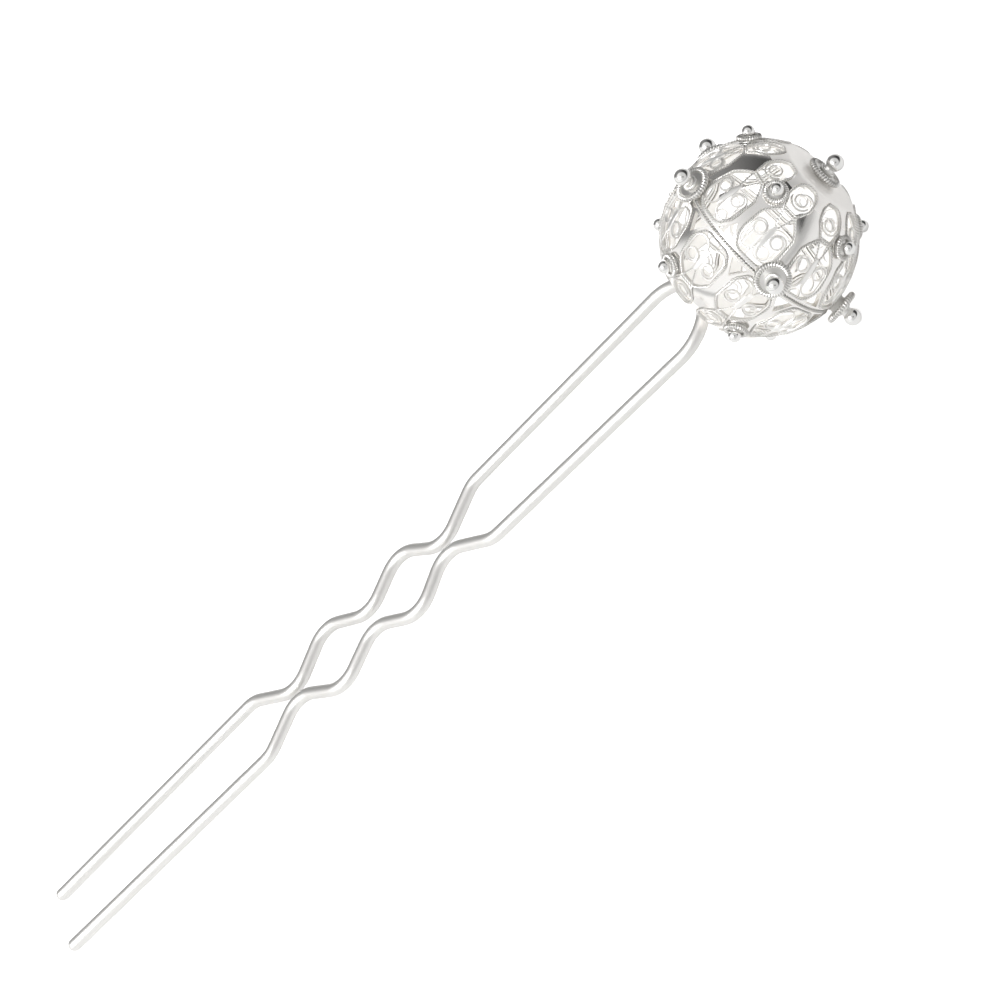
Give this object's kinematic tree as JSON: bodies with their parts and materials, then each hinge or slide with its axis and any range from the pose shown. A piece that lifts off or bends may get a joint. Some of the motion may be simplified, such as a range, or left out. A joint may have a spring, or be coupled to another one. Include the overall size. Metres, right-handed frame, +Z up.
{
  "type": "hairpin",
  "caption": "Silver hairpin: a crimped two-pronged wire pin that carries a hollow filigree ball set with beaded rosettes.",
  "frame": {"origin": "centre of the bottom face of the bounding box, on the surface the hairpin lies on", "axes": "+X from the prong tips to the ball, +Z up from that surface, +Y across the two prongs"},
  "size_m": [0.1108, 0.0228, 0.0217],
  "materials": {
    "polished_wire": "polished silver wire",
    "polished_sheet": "polished silver sheet",
    "filigree_wire": "pickled silver wire, slightly frosted",
    "bead_and_coil": "polished silver"
  },
  "bodies": {
    "root": {"pin": "polished_wire", "lower_dome": "polished_sheet", "upper_dome": "polished_sheet", "seam_wire": "filigree_wire", "crown_rosette": "bead_and_coil", "equator_rosette_1": "bead_and_coil", "equator_rosette_2": "bead_and_coil", "equator_rosette_3": "bead_and_coil", "equator_rosette_4": "bead_and_coil", "equator_rosette_5": "bead_and_coil", "upper_stud_1": "bead_and_coil", "upper_stud_2": "bead_and_coil", "upper_stud_3": "bead_and_coil", "upper_stud_4": "bead_and_coil", "upper_stud_5": "bead_and_coil", "lower_stud_1": "bead_and_coil", "lower_stud_2": "bead_and_coil", "lower_stud_3": "bead_and_coil", "lower_stud_4": "bead_and_coil", "lower_stud_5": "bead_and_coil", "upper_petal_1": "filigree_wire", "upper_petal_2": "filigree_wire", "upper_petal_3": "filigree_wire", "upper_petal_4": "filigree_wire", "upper_petal_5": "filigree_wire", "upper_petal_6": "filigree_wire", "upper_petal_7": "filigree_wire", "upper_petal_8": "filigree_wire", "upper_petal_9": "filigree_wire", "upper_petal_10": "filigree_wire", "lower_petal_1": "filigree_wire", "lower_petal_2": "filigree_wire", "lower_petal_3": "filigree_wire", "lower_petal_4": "filigree_wire", "lower_petal_5": "filigree_wire", "lower_petal_6": "filigree_wire", "lower_petal_7": "filigree_wire", "lower_petal_8": "filigree_wire", "lower_petal_9": "filigree_wire", "lower_petal_10": "filigree_wire"}
  },
  "joints": []
}
